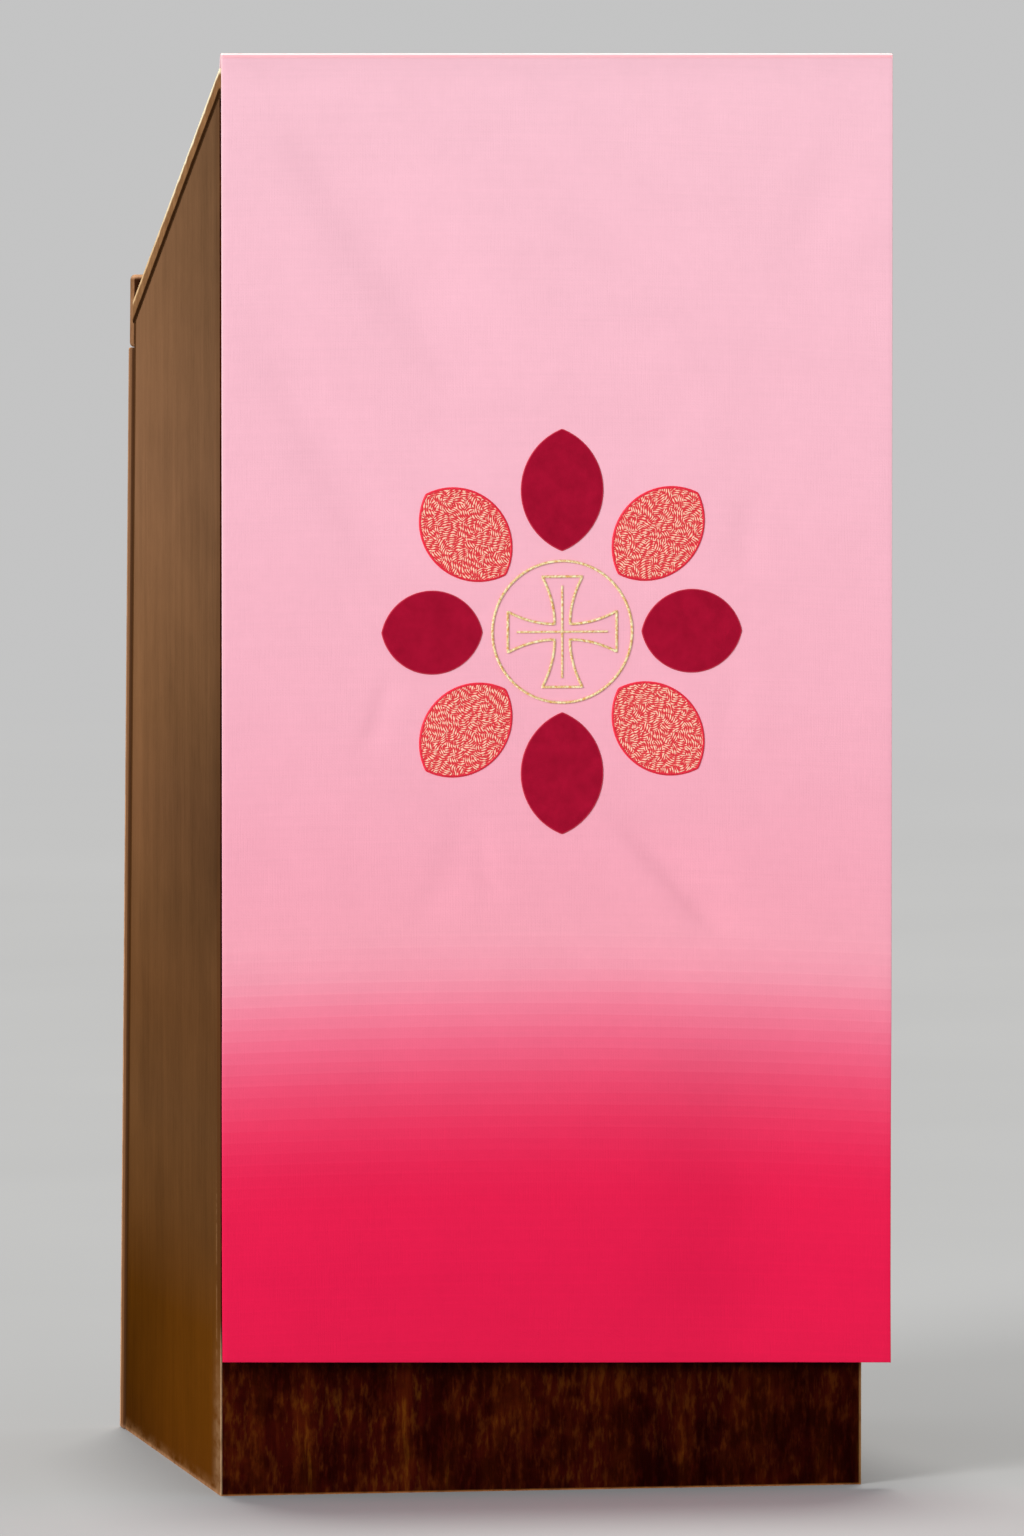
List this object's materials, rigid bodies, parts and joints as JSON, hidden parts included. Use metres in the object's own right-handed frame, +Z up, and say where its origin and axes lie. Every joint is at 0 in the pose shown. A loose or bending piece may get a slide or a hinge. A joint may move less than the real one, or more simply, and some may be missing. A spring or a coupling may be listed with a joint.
{
  "type": "lectern cover on its lectern",
  "caption": "Flat ombre-dyed cloth fall with a sewn rosette and corded cross, hung over the sloping desk of a plain closed wooden lectern with a book lip.",
  "frame": {"origin": "centre of the lectern's footprint, on the underside of the base board, at floor level", "axes": "+X to the right of someone facing the front, +Y from the front towards the reader, +Z up"},
  "size_m": [0.568, 0.5976, 1.1999],
  "materials": {
    "dyed_weave": "fine plain weave, dyed from pale pink at the top to crimson red at the hem",
    "crimson_patch": "matt twill patch with a sewn edge in its own colour",
    "coral_brocade": "coral brocade with a fine gold scroll ground and a red satin-stitched edge",
    "gold_cord": "couched gold metal thread",
    "side_wood": "brown stained wood, satin, worn pale at the arrises",
    "front_wood": "very dark red-brown stained wood, satin, worn pale at the arrises"
  },
  "bodies": {
    "root": {"cover_cloth": "dyed_weave", "crimson_petal_top": "crimson_patch", "crimson_petal_right": "crimson_patch", "crimson_petal_bottom": "crimson_patch", "crimson_petal_left": "crimson_patch", "brocade_petal_upper_right": "coral_brocade", "brocade_petal_lower_right": "coral_brocade", "brocade_petal_lower_left": "coral_brocade", "brocade_petal_upper_left": "coral_brocade", "gold_ring": "gold_cord", "gold_cross_outline": "gold_cord", "gold_cross_thread": "gold_cord", "side_board_left": "side_wood", "side_board_right": "side_wood", "back_board": "side_wood", "book_lip": "side_wood", "desk_board": "side_wood", "front_board": "front_wood", "base_board": "front_wood"}
  },
  "joints": []
}
